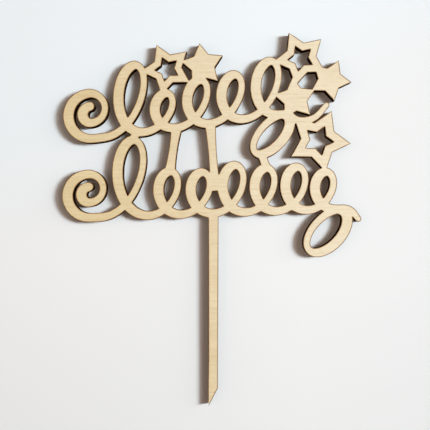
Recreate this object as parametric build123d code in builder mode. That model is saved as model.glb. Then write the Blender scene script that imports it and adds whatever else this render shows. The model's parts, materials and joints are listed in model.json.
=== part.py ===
from build123d import *
import os
from math import cos, pi, radians, sin, sqrt
from typing import NamedTuple

# A cake topper, cut by laser from one sheet of three-ply wood and stood in a cake by its stake.
# Two rows of curled streamers carry six stars, and all plies have the same outline.
# X runs to the right, Z up and the front faces -Y. The origin is where the stake meets the lower row,
# half way through the sheet. Lengths are in millimetres and angles in degrees.

# Sheet
sheet_thickness = 3.0
face_veneer_thickness = 0.8

# Stake, with its tip cut at a slant
stake_width = 4.6
stake_length = 94.6
stake_point_length = 9.0

# Pen that draws the streamers: thick on the way down and thin on the way up
down_stroke_width = 5.6
up_stroke_width = 3.6
tail_end_width = 3.0

# Struts between the two rows
strut_end_width = 5.6
strut_waist_width = 4.2

# Stars: radius of the tips, direction of the tip that a star stands on, and where on a loop that tip sits
open_left_star_radius = 13.3
open_left_star_angle = -102.3
open_left_star_seat = 110
solid_left_star_radius = 11.2
solid_left_star_angle = -118
solid_left_star_seat = 124
open_top_star_radius = 14.1
open_top_star_angle = 187
open_top_star_seat = 75
solid_middle_star_radius = 11.1
solid_middle_star_angle = 169
solid_middle_star_seat = -14
solid_right_star_radius = 10.8
solid_right_star_angle = 138
solid_right_star_weld = 6.5  # depth to which it sits in the top star's tip
open_right_star_radius = 16.2
open_right_star_angle = -77.5
open_right_star_seat = 90
star_waist = 0.56  # radius of the inner corners, as a share of the tips'
pierced_share = 0.475  # size of the hole in an open star, as a share of the star
pierced_waist = 0.55


class Loop(NamedTuple):
    height: float  # from the baseline to the crown, or below it on a loop that hangs
    pitch: float  # step along the baseline
    lean: float  # shift to the right for each millimetre of height
    crown_radius: float  # bend of the pen at the crown

    def reach(self):
        """Half of the pen's swing to each side, which gives the crown its bend."""
        return self.pitch / (2 * pi) + sqrt(self.crown_radius * abs(self.height) / 2)


class Row(NamedTuple):
    x: float  # where the first loop leaves the baseline
    z: float
    rise: float  # of the baseline, for each millimetre to the right
    loops: tuple


# Streamers
lower_rise = 0.035
upper_rise = 0.13
row_spacing = 45.4
row_shift = -1.5
lower_loops = (
    Loop(38.5, 24, 0.11, 3.3),
    Loop(22, 16.5, 0.11, 3.3),
    Loop(21, 16, 0.11, 3.3),
    Loop(24, 16.5, 0.11, 3.3),
    Loop(22, 15.5, 0.11, 3.3),
    Loop(22, 15.5, 0.11, 3.3),
    Loop(19, 14, 0.11, 3.3),
    Loop(-22, 3, 0.5, 7.5),
)
upper_loops = (
    Loop(35, 19.5, 0.13, 3.3),
    Loop(18.5, 16, 0.13, 3.3),
    Loop(23, 17, 0.13, 3.3),
    Loop(23.5, 17.5, 0.13, 3.3),
    Loop(28, 17.5, 0.13, 3.3),
    Loop(-20, 2, 0.5, 6.5),
)
stake_loop = 3  # the lower loop that starts over the stake
mast_loop = 3  # the upper loop that starts over the mast
lower_curl_radii = (11.0, 7.2, 4.0)
upper_curl_radii = (11.5, 7.5, 4.2)
lower_curl_lead = 5.5
upper_curl_lead = 6.0
lower_tail_run = ((5, -1), (8.5, -5))  # from the end of the last loop
upper_tail_run = ((16, -1.5), (21.5, 4.5))
left_strut_seat = 252  # on the first upper loop, short of its end

# Straight runs that the laser follows round each curve
half_turn_runs = 14
run_crowding = 5  # angle by which they close up at the crowns, where the bend is tightest
strut_runs = 6

pen_width = (down_stroke_width + up_stroke_width) / 2
pen_swing = (down_stroke_width - up_stroke_width) / 2
lower_start = -sum(loop.pitch for loop in lower_loops[:stake_loop])
upper_start = row_shift - sum(loop.pitch for loop in upper_loops[:mast_loop])
lower_row = Row(lower_start, pen_width / 2 + lower_rise * lower_start, lower_rise, lower_loops)
upper_row = Row(upper_start, pen_width / 2 + row_spacing + upper_rise * upper_start, upper_rise, upper_loops)


def pen_point(row, index, angle):
    """Middle of the pen on a loop: -90 is its start on the baseline, 90 its crown and 270 its end."""
    loop = row.loops[index]
    along = sum(before.pitch for before in row.loops[:index]) + loop.pitch * (angle + 90) / 360
    along += loop.reach() * cos(radians(angle))
    up = loop.height / 2 * (1 + sin(radians(angle)))
    return Vector(row.x + along + loop.lean * up, row.z + up + row.rise * along)


def pen_heading(row, index, angle):
    """Direction in which the pen moves on a loop."""
    loop = row.loops[index]
    along = loop.pitch / (2 * pi) - loop.reach() * sin(radians(angle))
    up = loop.height / 2 * cos(radians(angle))
    return Vector(along + loop.lean * up, up + row.rise * along).normalized()


def nib_width(heading):
    """Width of the stroke that the pen leaves in a direction."""
    return pen_width - pen_swing * heading.Y


def stroke_face(place, width, stops, rounded=False):
    """Face that the pen covers between stops, with a round end where the stroke is free.

    place gives the pen's point and heading at a stop, and width what it leaves there.
    """

    def side(stop, sign):
        point, heading = place(stop)
        return point + heading.rotate(Axis.Z, 90) * (sign * width(stop) / 2)

    last = stops[-1]
    with BuildSketch() as stroke:
        with BuildLine():
            Polyline([side(stop, 1) for stop in stops])
            Polyline([side(stop, -1) for stop in stops])
            Line(side(stops[0], 1), side(stops[0], -1))
            if rounded:
                point, heading = place(last)
                ThreePointArc(side(last, 1), point + heading * (width(last) / 2), side(last, -1))
            else:
                Line(side(last, 1), side(last, -1))
        make_face()
    return stroke.sketch


def loop_faces(row, index):
    """One loop of a row, in an upward and a downward half."""

    def place(angle):
        return pen_point(row, index, angle), pen_heading(row, index, angle)

    def width(angle):
        return nib_width(pen_heading(row, index, angle))

    even = [-90 + 180 * step / half_turn_runs for step in range(half_turn_runs + 1)]
    upward = [angle + run_crowding * sin(radians(2 * angle)) for angle in even]
    downward = [angle + 180 for angle in upward]
    return [stroke_face(place, width, upward), stroke_face(place, width, downward)]


def row_faces(row):
    """Every loop of a row."""
    return [face for index in range(len(row.loops)) for face in loop_faces(row, index)]


def edge_face(edge, width, runs, rounded=False):
    """Stroke along an edge."""
    stops = [step / runs for step in range(runs + 1)]
    return stroke_face(lambda stop: (edge @ stop, edge % stop), width, stops, rounded)


def tail_face(points, heading):
    """A free end of a streamer, narrowing to its round tip."""
    path = Spline(points, tangents=(heading, points[-1] - points[-2]))
    taper = tail_end_width - nib_width(heading)
    return edge_face(path, lambda stop: nib_width(heading) + taper * stop, half_turn_runs, rounded=True)


def curl_faces(row, lead, radii):
    """The rolled end before a row's first loop, in half turns of falling radius."""
    place = pen_point(row, 0, -90)
    path = [Line(place, place - pen_heading(row, 0, -90) * lead)]
    for radius in radii:
        path.append(JernArc(path[-1] @ 1, path[-1] % 1, radius, -180))
    faces = []
    for edge in path:
        runs = 1 if edge is path[0] else half_turn_runs
        faces.append(edge_face(edge, lambda stop: nib_width(-(edge % stop)), runs, edge is path[-1]))
    return faces


def strut_face(bottom, top):
    """A waisted strut from the lower row to the upper one."""
    flare = strut_end_width - strut_waist_width
    path = Line(bottom, top)
    return edge_face(path, lambda stop: strut_waist_width + flare * (2 * stop - 1) ** 2, strut_runs)


class Star(NamedTuple):
    middle: Vector
    radius: float
    tip_angle: float

    def tip(self, number, inset=0):
        """One of the five tips, counted from the first, or a point short of it."""
        return self.middle + Vector(self.radius - inset, 0).rotate(Axis.Z, self.tip_angle + 72 * number)


def star_on_tip(point, angle, radius):
    """A star that has the tip at this angle on the point."""
    return Star(point - Vector(radius, 0).rotate(Axis.Z, angle), radius, angle)


def star_face(star, share, waist):
    """Five-pointed face, at a share of the star's own size."""
    corners = []
    for tip in range(5):
        angle = star.tip_angle + 72 * tip
        corners.append(star.middle + Vector(share * star.radius, 0).rotate(Axis.Z, angle))
        corners.append(star.middle + Vector(share * star.radius * waist, 0).rotate(Axis.Z, angle + 36))
    with BuildSketch() as face:
        with BuildLine():
            Polyline(corners, close=True)
        make_face()
    return face.sketch


# Stars stand on the loops, and one of them on another
open_left_star = star_on_tip(
    pen_point(upper_row, 1, open_left_star_seat), open_left_star_angle, open_left_star_radius
)
solid_left_star = star_on_tip(
    pen_point(upper_row, 2, solid_left_star_seat), solid_left_star_angle, solid_left_star_radius
)
open_top_star = star_on_tip(
    pen_point(upper_row, 4, open_top_star_seat), open_top_star_angle, open_top_star_radius
)
solid_middle_star = star_on_tip(
    pen_point(upper_row, 4, solid_middle_star_seat), solid_middle_star_angle, solid_middle_star_radius
)
solid_right_star = star_on_tip(
    open_top_star.tip(2, solid_right_star_weld), solid_right_star_angle, solid_right_star_radius
)
open_right_star = star_on_tip(
    pen_point(lower_row, 6, open_right_star_seat), open_right_star_angle, open_right_star_radius
)
pierced_stars = (open_left_star, open_top_star, open_right_star)
solid_stars = (solid_left_star, solid_middle_star, solid_right_star)

# Tails run on from the last loops, the upper one by way of a star's tip
lower_end = pen_point(lower_row, len(lower_loops) - 1, 270)
lower_tail = [lower_end] + [lower_end + Vector(*step) for step in lower_tail_run]
upper_end = pen_point(upper_row, len(upper_loops) - 1, 270)
upper_tail = [upper_end, open_right_star.tip(3)] + [upper_end + Vector(*step) for step in upper_tail_run]

# Outline of the sheet
with BuildSketch() as outline:
    add(row_faces(lower_row) + row_faces(upper_row))
    add(curl_faces(lower_row, lower_curl_lead, lower_curl_radii))
    add(curl_faces(upper_row, upper_curl_lead, upper_curl_radii))
    add(tail_face(lower_tail, pen_heading(lower_row, len(lower_loops) - 1, 270)))
    add(tail_face(upper_tail, pen_heading(upper_row, len(upper_loops) - 1, 270)))
    add(strut_face(pen_point(lower_row, 0, 90), pen_point(upper_row, 0, left_strut_seat)))
    add(strut_face(pen_point(lower_row, 1, 90), pen_point(upper_row, 1, 270)))
    add(strut_face(pen_point(lower_row, 4, 90), pen_point(upper_row, 5, 90)))
    mast_foot = (pen_point(lower_row, stake_loop - 1, 0) + pen_point(lower_row, stake_loop, 180)) / 2
    add(strut_face(mast_foot, pen_point(upper_row, mast_loop, -90)))
    add([star_face(star, 1, star_waist) for star in (*pierced_stars, *solid_stars)])
    with BuildLine():
        Polyline(
            (-stake_width / 2, pen_width / 2),
            (stake_width / 2, pen_width / 2),
            (stake_width / 2, stake_point_length - stake_length),
            (-stake_width / 2, -stake_length),
            close=True,
        )
    make_face()
    add([star_face(star, pierced_share, pierced_waist) for star in pierced_stars], mode=Mode.SUBTRACT)


def cut_layer(name, level, thickness):
    """One layer of the sheet, forwards from a level in front of the sheet's middle."""
    with BuildPart() as layer:
        with BuildSketch(Plane.XZ.offset(level)):
            add(outline.sketch)
        extrude(amount=thickness)
    layer.part.label = name
    export_step(layer.part, f"parts/{name}.step")


# Layers from the back of the sheet to its front, glued face to face
core_veneer_thickness = sheet_thickness - 2 * face_veneer_thickness
layers = (
    ("back_veneer", face_veneer_thickness),
    ("core_veneer", core_veneer_thickness),
    ("front_veneer", face_veneer_thickness),
)
os.makedirs("parts", exist_ok=True)
level = -sheet_thickness / 2
for name, thickness in layers:
    cut_layer(name, level, thickness)
    level += thickness
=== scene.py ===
import bpy
import json
import math
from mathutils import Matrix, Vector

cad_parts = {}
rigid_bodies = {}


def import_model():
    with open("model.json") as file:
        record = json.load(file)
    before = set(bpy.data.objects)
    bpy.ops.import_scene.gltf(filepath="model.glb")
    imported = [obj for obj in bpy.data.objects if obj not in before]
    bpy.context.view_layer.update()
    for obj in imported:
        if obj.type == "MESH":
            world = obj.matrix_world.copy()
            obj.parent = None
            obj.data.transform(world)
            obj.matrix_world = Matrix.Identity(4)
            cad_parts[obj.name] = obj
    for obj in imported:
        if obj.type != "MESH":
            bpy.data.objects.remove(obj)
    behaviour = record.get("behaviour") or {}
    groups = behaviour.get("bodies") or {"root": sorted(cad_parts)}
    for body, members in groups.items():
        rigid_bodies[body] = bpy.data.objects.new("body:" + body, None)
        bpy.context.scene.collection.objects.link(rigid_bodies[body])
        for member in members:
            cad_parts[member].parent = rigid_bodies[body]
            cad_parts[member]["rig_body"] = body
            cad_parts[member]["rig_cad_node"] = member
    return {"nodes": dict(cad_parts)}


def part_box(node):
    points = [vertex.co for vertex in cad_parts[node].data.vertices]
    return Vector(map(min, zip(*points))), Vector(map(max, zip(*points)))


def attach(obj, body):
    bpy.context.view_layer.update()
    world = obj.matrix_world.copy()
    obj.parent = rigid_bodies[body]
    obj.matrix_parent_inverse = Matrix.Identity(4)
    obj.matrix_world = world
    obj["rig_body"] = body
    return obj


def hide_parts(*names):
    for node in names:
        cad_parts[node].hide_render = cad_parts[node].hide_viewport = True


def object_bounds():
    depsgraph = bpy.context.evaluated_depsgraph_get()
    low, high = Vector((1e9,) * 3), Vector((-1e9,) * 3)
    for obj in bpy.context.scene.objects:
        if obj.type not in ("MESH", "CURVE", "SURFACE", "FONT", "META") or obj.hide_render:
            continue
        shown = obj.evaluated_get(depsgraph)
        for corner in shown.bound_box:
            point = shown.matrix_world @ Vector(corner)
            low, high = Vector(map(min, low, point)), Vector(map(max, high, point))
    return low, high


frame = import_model()
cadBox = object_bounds()
scene = bpy.context.scene
scene.view_settings.view_transform = "Standard"


def deselectAll():
    bpy.ops.object.select_all(action="DESELECT")


def makeActive(piece):
    deselectAll()
    piece.select_set(True)
    bpy.context.view_layer.objects.active = piece


def newMaterial(name):
    material = bpy.data.materials.new(name)
    material.use_nodes = True
    nodes = material.node_tree.nodes
    return material, nodes, material.node_tree.links, nodes["Principled BSDF"]


def newGroup(name, inputs, outputs):
    group = bpy.data.node_groups.new(name, "ShaderNodeTree")
    for socket, kind in inputs.items():
        group.interface.new_socket(socket, in_out="INPUT", socket_type=kind)
    for socket in outputs:
        group.interface.new_socket(socket, in_out="OUTPUT", socket_type="NodeSocketFloat")
    start = group.nodes.new("NodeGroupInput")
    end = group.nodes.new("NodeGroupOutput")
    return group, group.nodes, group.links, start, end


def addNode(nodes, kind, settings=None, **values):
    node = nodes.new(kind)
    for key, value in (settings or {}).items():
        setattr(node, key, value)
    for key, value in values.items():
        node.inputs[key].default_value = value
    return node


def compute(nodes, links, operation, *sources):
    node = addNode(nodes, "ShaderNodeMath", {"operation": operation})
    for socket, source in zip(node.inputs, sources):
        if isinstance(source, (int, float)):
            socket.default_value = source
        else:
            links.new(source, socket)
    return node.outputs[0]


def remap(nodes, links, source, low, high, toLow=0, toHigh=1):
    node = nodes.new("ShaderNodeMapRange")
    links.new(source, node.inputs["Value"])
    spans = {"From Min": low, "From Max": high, "To Min": toLow, "To Max": toHigh}
    for key, value in spans.items():
        node.inputs[key].default_value = value
    return node.outputs["Result"]


def blend(nodes, links, factor, first, second):
    node = nodes.new("ShaderNodeMix")
    node.data_type = "RGBA"
    links.new(factor, node.inputs["Factor"])
    colourSockets = node.inputs[6], node.inputs[7]  # A and B, in the colour version of the node
    for socket, colour in zip(colourSockets, (first, second)):
        if isinstance(colour, tuple):
            socket.default_value = (*colour, 1)
        else:
            links.new(colour, socket)
    return node.outputs[2]  # the colour result


# From 0 to 1 along a straight direction
def drift(nodes, links, toward, low, high):
    place = addNode(nodes, "ShaderNodeTexCoord")
    along = addNode(nodes, "ShaderNodeVectorMath", {"operation": "DOT_PRODUCT"})
    along.inputs[1].default_value = toward
    links.new(place.outputs["Object"], along.inputs[0])
    return remap(nodes, links, along.outputs["Value"], low, high)


# Camera, straight in front as the photograph has it
cameraView = {
    "distance": 0.2,       # from the front face
    "frameWidth": 0.2163,  # what the picture spans at the front face
    "aimX": 0.0009,
    "aimZ": 0.0015,
    "sensorWidth": 36,
    "nearest": 0.01,
}
upright = (math.radians(90), 0, 0)  # turns the camera and the board to the sheet
frontY = cadBox[0].y
bpy.ops.object.camera_add(
    location=(cameraView["aimX"], frontY - cameraView["distance"], cameraView["aimZ"]),
    rotation=upright,
)
camera = bpy.context.object
camera.data.sensor_width = cameraView["sensorWidth"]
camera.data.lens = cameraView["sensorWidth"] * cameraView["distance"] / cameraView["frameWidth"]
camera.data.clip_start = cameraView["nearest"]
scene.camera = camera
print("camera placed, lens", round(camera.data.lens, 2))

# Lamps: slope in degrees out in front of the sheet, turn in degrees up from its right-hand side
lamps = {
    "keyLamp": {  # small, gives the shadows their edges
        "slope": 31, "turn": 7, "distance": 3.0,
        "width": 0.6, "height": 0.6,
        "watts": 105, "colour": (0.805, 0.93, 1),
    },
    "broadLamp": {  # wide and soft, from the same side
        "slope": 26, "turn": 10, "distance": 3.0,
        "width": 2.6, "height": 0.9,
        "watts": 71, "colour": (1, 0.955, 0.91),
    },
    "sideLamp": {  # weak, lifts the shadows from the left
        "slope": 18, "turn": 180, "distance": 2.4,
        "width": 2.0, "height": 0.8,
        "watts": 12, "colour": (1, 0.8, 0.68),
    },
    "backLamp": {  # for the back of the sheet
        "slope": -80, "turn": 60, "distance": 1.6,
        "width": 0.8, "height": 0.8,
        "watts": 13, "colour": (1, 1, 1),
    },
}
worldFill = {
    "strength": 0.19,
    "colour": (1, 0.71, 0.53, 1),
    "shown": 0.88,  # what the camera and reflections see beyond the stage
    "shownColour": (1, 1, 1, 1),
}
middle = (cadBox[0] + cadBox[1]) / 2


def addLamp(name, lamp):
    slope, turn = math.radians(lamp["slope"]), math.radians(lamp["turn"])
    reach = lamp["distance"] * math.cos(slope)
    place = (
        middle.x + reach * math.cos(turn),
        middle.y - lamp["distance"] * math.sin(slope),
        middle.z + reach * math.sin(turn),
    )
    deselectAll()
    bpy.ops.object.light_add(type="AREA", location=place)
    light = bpy.context.object
    light.name = name
    light.data.shape = "RECTANGLE"
    light.data.size, light.data.size_y = lamp["width"], lamp["height"]
    light.data.energy = lamp["watts"]
    light.data.color = lamp["colour"]
    light.rotation_euler = (light.location - middle).to_track_quat("Z", "Y").to_euler()


for name, lamp in lamps.items():
    addLamp(name, lamp)

world = bpy.data.worlds.new("studio")
scene.world = world
world.use_nodes = True
nodes, links = world.node_tree.nodes, world.node_tree.links
fill = nodes["Background"]
fill.inputs["Color"].default_value = worldFill["colour"]
fill.inputs["Strength"].default_value = worldFill["strength"]
shown = addNode(nodes, "ShaderNodeBackground", Color=worldFill["shownColour"], Strength=worldFill["shown"])
rays = addNode(nodes, "ShaderNodeLightPath")
either = addNode(nodes, "ShaderNodeMixShader")
seen = rays.outputs["Is Camera Ray"]
for ray in ("Is Glossy Ray", "Is Transmission Ray"):  # reflections show the pale surroundings too
    seen = compute(nodes, links, "MAXIMUM", seen, rays.outputs[ray])
links.new(seen, either.inputs["Fac"])
links.new(fill.outputs[0], either.inputs[1])
links.new(shown.outputs[0], either.inputs[2])
links.new(either.outputs[0], nodes["World Output"].inputs["Surface"])
print("lights placed")

# White board that the sheet lies against, seen through from behind, and a pale floor
board = {
    "gap": 0.0002,
    "reach": 1.5,
    "colour": (0.86, 0.86, 0.862),
    "tints": (  # painted light and shade on the white board; each comes in along a direction, between two distances from the middle
        ((0, -1, 0), 0.02, 0.105, (0.824, 0.824, 0.824)),    # painted shade, dimmer towards the bottom
        ((-0.4, 1, 0), 0.025, 0.085, (0.838, 0.88, 0.905)),  # painted cool light, cooler towards the top
        ((1, 0, 0), 0.045, 0.6, (0.42, 0.42, 0.42)),         # painted shade, darker to the right, close to the lamps
    ),
    "roughness": 0.9,
    "specular": 0.1,
}
floorPlane = {
    "below": 0.016,
    "reach": 0.55,
    "colour": (0.78, 0.82, 0.85, 1),
    "roughness": 0.8,
}

boardPaper, nodes, links, paper = newMaterial("whiteBoard")
tone = board["colour"]
# Paints the board's light and shade in, one direction at a time
for toward, low, high, tint in board["tints"]:
    tone = blend(nodes, links, drift(nodes, links, toward, low, high), tone, tint)
links.new(tone, paper.inputs["Base Color"])
paper.inputs["Roughness"].default_value = board["roughness"]
paper.inputs["Specular IOR Level"].default_value = board["specular"]
side = addNode(nodes, "ShaderNodeNewGeometry")
clear = addNode(nodes, "ShaderNodeBsdfTransparent")
oneWay = addNode(nodes, "ShaderNodeMixShader")
links.new(side.outputs["Backfacing"], oneWay.inputs["Fac"])
links.new(paper.outputs[0], oneWay.inputs[1])
links.new(clear.outputs[0], oneWay.inputs[2])
links.new(oneWay.outputs[0], nodes["Material Output"].inputs["Surface"])

deselectAll()
bpy.ops.mesh.primitive_plane_add(
    size=2 * board["reach"],
    location=(0, cadBox[1].y + board["gap"], 0),
    rotation=upright,
)
boardPlane = bpy.context.object
boardPlane.name = "boardPlane"
boardPlane.data.materials.append(boardPaper)
boardPlane.visible_shadow = False  # the lamp behind reaches the back of the sheet
boardPlane.visible_diffuse = False  # no glow from the board on the char or the floor

floorPaint, nodes, links, paint = newMaterial("paleFloor")
paint.inputs["Base Color"].default_value = floorPlane["colour"]
paint.inputs["Roughness"].default_value = floorPlane["roughness"]
deselectAll()
bpy.ops.mesh.primitive_plane_add(
    size=2 * floorPlane["reach"],
    location=(0, 0, cadBox[0].z - floorPlane["below"]),
)
paleFloor = bpy.context.object
paleFloor.name = "paleFloor"
paleFloor.data.materials.append(floorPaint)
paleFloor.visible_diffuse = False  # no glow from below on the board
print("stage placed")

# Sanded face: pale fibres along the width, scorched beside the cut, and painted light that makes it paler
# towards the upper right
faceWood = {
    "amber": ((0.785, 0.635, 0.385), (0.67, 0.51, 0.275)),  # between and on the fibres, lower left, where the painted light is least
    "light": ((0.86, 0.75, 0.56), (0.745, 0.615, 0.42)),    # the same, upper right, paler with painted light from the lamps' side
    "paintedLightWay": (8.3, 0, 2.5),       # painted light, from amber to light
    "paintedLightSpan": (-0.49, 0.42),      # where that begins and ends
    "fleck": (0.62, 0.45, 0.26),
    "fleckMost": 0.45,
    "toast": (0.50, 0.27, 0.095),    # a little way in from the cut
    "toastMost": 0.85,
    "toastSpan": (0, 0.3),           # of the scorch, which is 1 at the cut
    "burnt": (0.035, 0.015, 0.007),  # right at the cut
    "burntSpan": (0.5, 0.8),
    "fibreScale": 800,
    "fibreStretch": (0.05, 1, 1),
    "roughness": (0.55, 0.7),
    "specular": 0.25,
    "bumpStrength": 0.25,
    "bumpDepth": 0.00005,
}
fibres = {
    "bandScale": 60,
    "mottleScale": 1200,
    "mottleShorten": (5, 1, 1),  # takes back part of the stretch
    "shares": (0.35, 0.35, 0.3),  # of fibres, bands and mottle in the tone
    "toneSpan": (0.38, 0.62),
    "fleckSpan": (0.62, 0.74),
}
# Charred edge of the veneers and of the core, from brown to soot
charEdge = {
    "veneer": ((0.028, 0.014, 0.007), (0.007, 0.0035, 0.002)),
    "core": ((0.018, 0.009, 0.005), (0.005, 0.0025, 0.0015)),
    "glue": (0.003, 0.002, 0.0015),
    "streakScale": 1400,
    "roughness": (0.75, 0.95),
    "bumpStrength": 0.4,
    "bumpDepth": 0.0001,
}
streaking = {
    "stretch": (1, 0.06, 1),
    "streakSpan": (0.3, 0.7),
    "patchScale": 140,
    "patchSpan": (0.3, 0.65),
    "patchLeast": 0.35,
    "glueSpan": (0.00004, 0.00016),  # a line of glue is full up to the first and gone at the second
}


# Fibres drawn out along one direction
def fibreGroup():
    group, nodes, links, start, end = newGroup(
        "woodFibre",
        {"Stretch": "NodeSocketVector", "Scale": "NodeSocketFloat"},
        ("Tone", "Fleck", "Height"),
    )
    place = addNode(nodes, "ShaderNodeTexCoord")
    stretch = addNode(nodes, "ShaderNodeMapping")
    links.new(place.outputs["Object"], stretch.inputs["Vector"])
    links.new(start.outputs["Stretch"], stretch.inputs["Scale"])
    fine = addNode(nodes, "ShaderNodeTexNoise", Detail=4, Roughness=0.6)
    links.new(stretch.outputs[0], fine.inputs["Vector"])
    links.new(start.outputs["Scale"], fine.inputs["Scale"])
    broad = addNode(nodes, "ShaderNodeTexNoise", Scale=fibres["bandScale"], Detail=2)
    links.new(stretch.outputs[0], broad.inputs["Vector"])
    shorten = addNode(nodes, "ShaderNodeMapping", Scale=fibres["mottleShorten"])
    links.new(stretch.outputs[0], shorten.inputs["Vector"])
    mottle = addNode(nodes, "ShaderNodeTexNoise", Scale=fibres["mottleScale"], Detail=2, Roughness=0.7)
    links.new(shorten.outputs[0], mottle.inputs["Vector"])
    tone = 0
    for layer, share in zip((fine, broad, mottle), fibres["shares"]):
        tone = compute(nodes, links, "MULTIPLY_ADD", layer.outputs["Fac"], share, tone)
    links.new(remap(nodes, links, tone, *fibres["toneSpan"]), end.inputs["Tone"])
    links.new(remap(nodes, links, fine.outputs["Fac"], *fibres["fleckSpan"]), end.inputs["Fleck"])
    links.new(fine.outputs["Fac"], end.inputs["Height"])
    return group


# Streaks that the beam leaves straight through the sheet, and the dark lines of glue
def streakGroup():
    group, nodes, links, start, end = newGroup(
        "laserStreak",
        {"Scale": "NodeSocketFloat", "Glue": "NodeSocketFloat"},
        ("Soot", "Glue", "Height"),
    )
    place = addNode(nodes, "ShaderNodeTexCoord")
    through = addNode(nodes, "ShaderNodeMapping", Scale=streaking["stretch"])
    links.new(place.outputs["Object"], through.inputs["Vector"])
    streaks = addNode(nodes, "ShaderNodeTexNoise", Detail=3)
    links.new(through.outputs[0], streaks.inputs["Vector"])
    links.new(start.outputs["Scale"], streaks.inputs["Scale"])
    patches = addNode(nodes, "ShaderNodeTexNoise", Scale=streaking["patchScale"], Detail=2)
    links.new(place.outputs["Object"], patches.inputs["Vector"])
    lines = remap(nodes, links, streaks.outputs["Fac"], *streaking["streakSpan"])
    cover = remap(nodes, links, patches.outputs["Fac"], *streaking["patchSpan"], streaking["patchLeast"], 1)
    links.new(compute(nodes, links, "MULTIPLY", lines, cover), end.inputs["Soot"])
    apart = addNode(nodes, "ShaderNodeSeparateXYZ")
    links.new(place.outputs["Object"], apart.inputs[0])
    depth = compute(nodes, links, "ABSOLUTE", apart.outputs["Y"])
    fromGlue = compute(nodes, links, "SUBTRACT", depth, start.outputs["Glue"])
    nearGlue = compute(nodes, links, "ABSOLUTE", fromGlue)
    links.new(remap(nodes, links, nearGlue, *streaking["glueSpan"], 1, 0), end.inputs["Glue"])
    links.new(streaks.outputs["Fac"], end.inputs["Height"])
    return group


woodFibre = fibreGroup()
laserStreak = streakGroup()


def addBump(nodes, links, height, shader, finish):
    bump = addNode(nodes, "ShaderNodeBump", Strength=finish["bumpStrength"], Distance=finish["bumpDepth"])
    links.new(height, bump.inputs["Height"])
    links.new(bump.outputs["Normal"], shader.inputs["Normal"])


def sandedFace():
    material, nodes, links, wood = newMaterial("sandedFace")
    fibre = addNode(
        nodes, "ShaderNodeGroup", {"node_tree": woodFibre},
        Stretch=faceWood["fibreStretch"], Scale=faceWood["fibreScale"],
    )
    amber = blend(nodes, links, fibre.outputs["Tone"], *faceWood["amber"])
    light = blend(nodes, links, fibre.outputs["Tone"], *faceWood["light"])
    # Painted light: the face turns paler towards the upper right, the side the lamps are on
    paintedLightAcross = drift(nodes, links, faceWood["paintedLightWay"], *faceWood["paintedLightSpan"])
    bare = blend(nodes, links, paintedLightAcross, amber, light)
    faint = remap(nodes, links, fibre.outputs["Fleck"], 0, 1, 0, faceWood["fleckMost"])
    flecked = blend(nodes, links, faint, bare, faceWood["fleck"])
    burn = addNode(nodes, "ShaderNodeAttribute", {"attribute_name": "scorch"})
    toasting = remap(nodes, links, burn.outputs["Fac"], *faceWood["toastSpan"], 0, faceWood["toastMost"])
    toasted = blend(nodes, links, toasting, flecked, faceWood["toast"])
    burning = remap(nodes, links, burn.outputs["Fac"], *faceWood["burntSpan"])
    burnt = blend(nodes, links, burning, toasted, faceWood["burnt"])
    links.new(burnt, wood.inputs["Base Color"])
    rough = remap(nodes, links, fibre.outputs["Tone"], 0, 1, *faceWood["roughness"])
    links.new(rough, wood.inputs["Roughness"])
    wood.inputs["Specular IOR Level"].default_value = faceWood["specular"]
    addBump(nodes, links, fibre.outputs["Height"], wood, faceWood)
    return material


def charredEdge(name, ply):
    material, nodes, links, char = newMaterial(name)
    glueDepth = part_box("core_veneer")[1].y  # the plies meet at the faces of the core
    streak = addNode(
        nodes, "ShaderNodeGroup", {"node_tree": laserStreak},
        Scale=charEdge["streakScale"], Glue=glueDepth,
    )
    brown, soot = charEdge[ply]
    tone = blend(nodes, links, streak.outputs["Soot"], brown, soot)
    lined = blend(nodes, links, streak.outputs["Glue"], tone, charEdge["glue"])
    links.new(lined, char.inputs["Base Color"])
    rough = remap(nodes, links, streak.outputs["Soot"], 0, 1, *charEdge["roughness"])
    links.new(rough, char.inputs["Roughness"])
    char.inputs["Specular IOR Level"].default_value = 0  # soot has no shine
    addBump(nodes, links, streak.outputs["Height"], char, charEdge)
    return material


sandedMaterial = sandedFace()
veneerEdge = charredEdge("charredVeneerEdge", "veneer")
coreEdge = charredEdge("charredCoreEdge", "core")
print("materials made")

# Veneers: the cut edge is rounded between its corners, both faces are filled again,
# and a scorched rim is let into each outer face
veneer = {
    "rimWidth": 0.00055,
    "mergeWithin": 0.00036,
    "flatFrom": 0.7,         # least y of the normal, either way, on the sheet's flat faces
    "levelWithin": 0.00001,  # how far from a face's level its outline may lie
    "cornerFrom": 26,        # degrees from which a bend stays a corner
    "quadWithin": 1,         # degrees between two triangles that make one quad
    "rounding": 2,           # subdivision level of the cut edge
}


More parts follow.
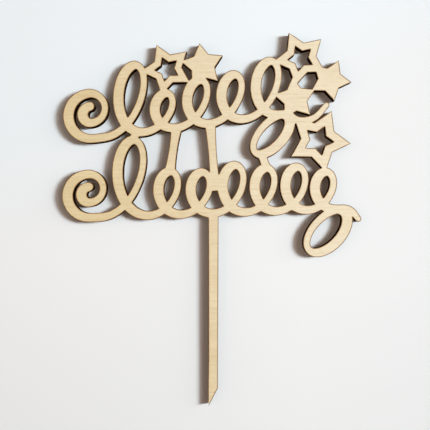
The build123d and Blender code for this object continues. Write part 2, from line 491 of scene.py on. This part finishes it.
def cutEdge(nodeName, pieceName):
    makeActive(frame["nodes"][nodeName])
    bpy.ops.object.duplicate()
    piece = bpy.context.object
    piece.name = piece.data.name = pieceName
    for key in ("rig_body", "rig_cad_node"):  # the copy is a new piece, not the solid
        del piece[key]
    piece.data.materials.clear()
    bpy.ops.object.mode_set(mode="EDIT")
    bpy.ops.mesh.select_mode(type="FACE")
    bpy.ops.mesh.select_all(action="SELECT")
    bpy.ops.mesh.remove_doubles(threshold=veneer["mergeWithin"])
    bpy.ops.object.mode_set(mode="OBJECT")
    for polygon in piece.data.polygons:
        polygon.select = abs(polygon.normal.y) > veneer["flatFrom"]
    bpy.ops.object.mode_set(mode="EDIT")
    bpy.ops.mesh.delete(type="FACE")
    bpy.ops.mesh.select_all(action="SELECT")
    bpy.ops.mesh.tris_convert_to_quads(
        face_threshold=math.radians(veneer["quadWithin"]),
        shape_threshold=math.radians(180),  # quads of any shape
    )
    bpy.ops.mesh.select_mode(type="EDGE")
    bpy.ops.mesh.select_all(action="DESELECT")
    bpy.ops.mesh.edges_select_sharp(sharpness=math.radians(veneer["cornerFrom"]))
    bpy.ops.transform.edge_crease(value=1)
    bpy.ops.object.mode_set(mode="OBJECT")
    rounding = piece.modifiers.new("rounding", "SUBSURF")
    rounding.levels = rounding.render_levels = veneer["rounding"]
    bpy.ops.object.modifier_apply(modifier=rounding.name)
    return piece


def fillFaces(piece, edgeMaterial):
    mesh = piece.data
    low, high = (round(corner[1], 6) for corner in (piece.bound_box[0], piece.bound_box[6]))
    for level in (low, high):
        for vertex in mesh.vertices:
            vertex.select = abs(vertex.co.y - level) < veneer["levelWithin"]
        for edge in mesh.edges:
            edge.select = all(mesh.vertices[end].select for end in edge.vertices)
        for polygon in mesh.polygons:
            polygon.select = False
        bpy.ops.object.mode_set(mode="EDIT")
        bpy.ops.mesh.select_mode(type="EDGE")
        bpy.ops.mesh.fill(use_beauty=True)
        bpy.ops.object.mode_set(mode="OBJECT")
    bpy.ops.object.mode_set(mode="EDIT")
    bpy.ops.mesh.select_mode(type="FACE")
    bpy.ops.mesh.select_all(action="SELECT")
    bpy.ops.mesh.normals_make_consistent(inside=False)
    bpy.ops.mesh.select_all(action="DESELECT")
    bpy.ops.object.mode_set(mode="OBJECT")
    mesh.materials.append(sandedMaterial)
    mesh.materials.append(edgeMaterial)
    for polygon in mesh.polygons:
        polygon.material_index = 0 if abs(polygon.normal.y) > veneer["flatFrom"] else 1


def scorchRim(piece, facing):
    mesh = piece.data
    for polygon in mesh.polygons:
        polygon.select = polygon.normal.y * facing > veneer["flatFrom"]
    bpy.ops.object.mode_set(mode="EDIT")
    bpy.ops.mesh.inset(thickness=veneer["rimWidth"], use_even_offset=False)
    bpy.ops.mesh.select_all(action="DESELECT")
    bpy.ops.object.mode_set(mode="OBJECT")
    edgeFaces = [polygon for polygon in mesh.polygons if polygon.material_index == 1]
    cut = {vertex for polygon in edgeFaces for vertex in polygon.vertices}
    burn = mesh.attributes.new("scorch", "FLOAT", "POINT")
    for vertex in mesh.vertices:
        burn.data[vertex.index].value = 1 if vertex.index in cut else 0


# facing is the y direction of the face that shows, 0 for the core
for nodeName, pieceName, facing, edgeMaterial, slot in (
    ("front_veneer", "frontVeneer", -1, veneerEdge, "face_wood"),
    ("core_veneer", "coreVeneer", 0, coreEdge, "core_wood"),
    ("back_veneer", "backVeneer", 1, veneerEdge, "face_wood"),
):
    piece = cutEdge(nodeName, pieceName)
    fillFaces(piece, edgeMaterial)
    if facing:
        scorchRim(piece, facing)
    bpy.ops.object.shade_smooth_by_angle(angle=math.radians(veneer["cornerFrom"]))
    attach(piece, "root")
    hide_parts(nodeName)
    print(pieceName, "made,", len(piece.data.polygons), "faces")
